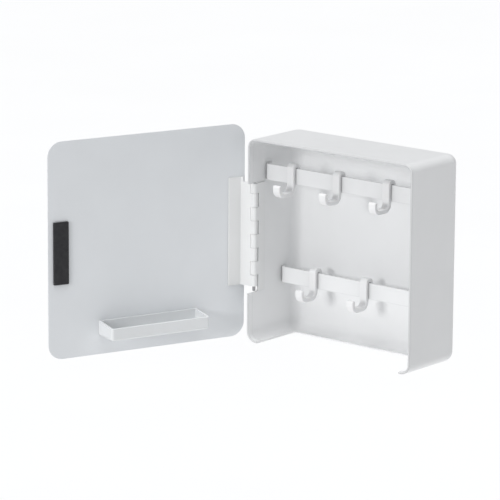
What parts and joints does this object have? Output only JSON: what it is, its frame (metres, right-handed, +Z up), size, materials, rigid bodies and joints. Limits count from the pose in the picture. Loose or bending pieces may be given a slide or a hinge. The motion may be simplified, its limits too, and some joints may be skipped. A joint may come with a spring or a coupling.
{
  "type": "key cabinet",
  "caption": "Shallow wall cabinet for keys: pressed steel case open at the bottom, hinged door with magnet catch and small tray, rails with sliding hooks.",
  "frame": {"origin": "centre of the rear mounting plane, on the middle magnet's outer face", "axes": "+X to the right seen from the front, +Y out of the back towards the wall, +Z up"},
  "size_m": [0.2862, 0.2619, 0.211],
  "materials": {
    "case_paint": "satin white powder coat",
    "door_paint": "satin white powder coat",
    "rail_paint": "satin white powder coat",
    "hinge_paint": "satin white paint",
    "hook_plastic": "white moulded plastic",
    "tray_plastic": "white moulded plastic",
    "magnet_rubber": "black flexible magnet",
    "pin_steel": "plain steel"
  },
  "bodies": {
    "case": {"case_shell": "case_paint", "rear_magnet_bottom": "magnet_rubber", "rear_magnet_middle": "magnet_rubber", "rear_magnet_top": "magnet_rubber", "upper_rail": "rail_paint", "lower_rail": "rail_paint", "hinge_wall_leaf": "hinge_paint", "hinge_pin": "pin_steel"},
    "door": {"door_panel": "door_paint", "door_magnet": "magnet_rubber", "hinge_door_leaf": "hinge_paint", "key_tray": "tray_plastic"},
    "upper_hook_left": {"upper_hook_left": "hook_plastic"},
    "upper_hook_middle": {"upper_hook_middle": "hook_plastic"},
    "upper_hook_right": {"upper_hook_right": "hook_plastic"},
    "lower_hook_left": {"lower_hook_left": "hook_plastic"},
    "lower_hook_right": {"lower_hook_right": "hook_plastic"}
  },
  "joints": [
    {"name": "door_hinge", "type": "hinge", "parent": "case", "child": "door", "pos_m": [-0.09885, -0.0661, 0], "axis": [0, 0, -1], "range_deg": [-110.5, 69.5]},
    {"name": "upper_hook_left_slide", "type": "slide", "parent": "case", "child": "upper_hook_left", "axis": [1, 0, 0], "range_m": [-0.024, 0.023]},
    {"name": "upper_hook_middle_slide", "type": "slide", "parent": "case", "child": "upper_hook_middle", "axis": [1, 0, 0], "range_m": [-0.023, 0.024]},
    {"name": "upper_hook_right_slide", "type": "slide", "parent": "case", "child": "upper_hook_right", "axis": [1, 0, 0], "range_m": [-0.024, 0.029]},
    {"name": "lower_hook_left_slide", "type": "slide", "parent": "case", "child": "lower_hook_left", "axis": [1, 0, 0], "range_m": [-0.031, 0.024]},
    {"name": "lower_hook_right_slide", "type": "slide", "parent": "case", "child": "lower_hook_right", "axis": [1, 0, 0], "range_m": [-0.024, 0.073]}
  ]
}
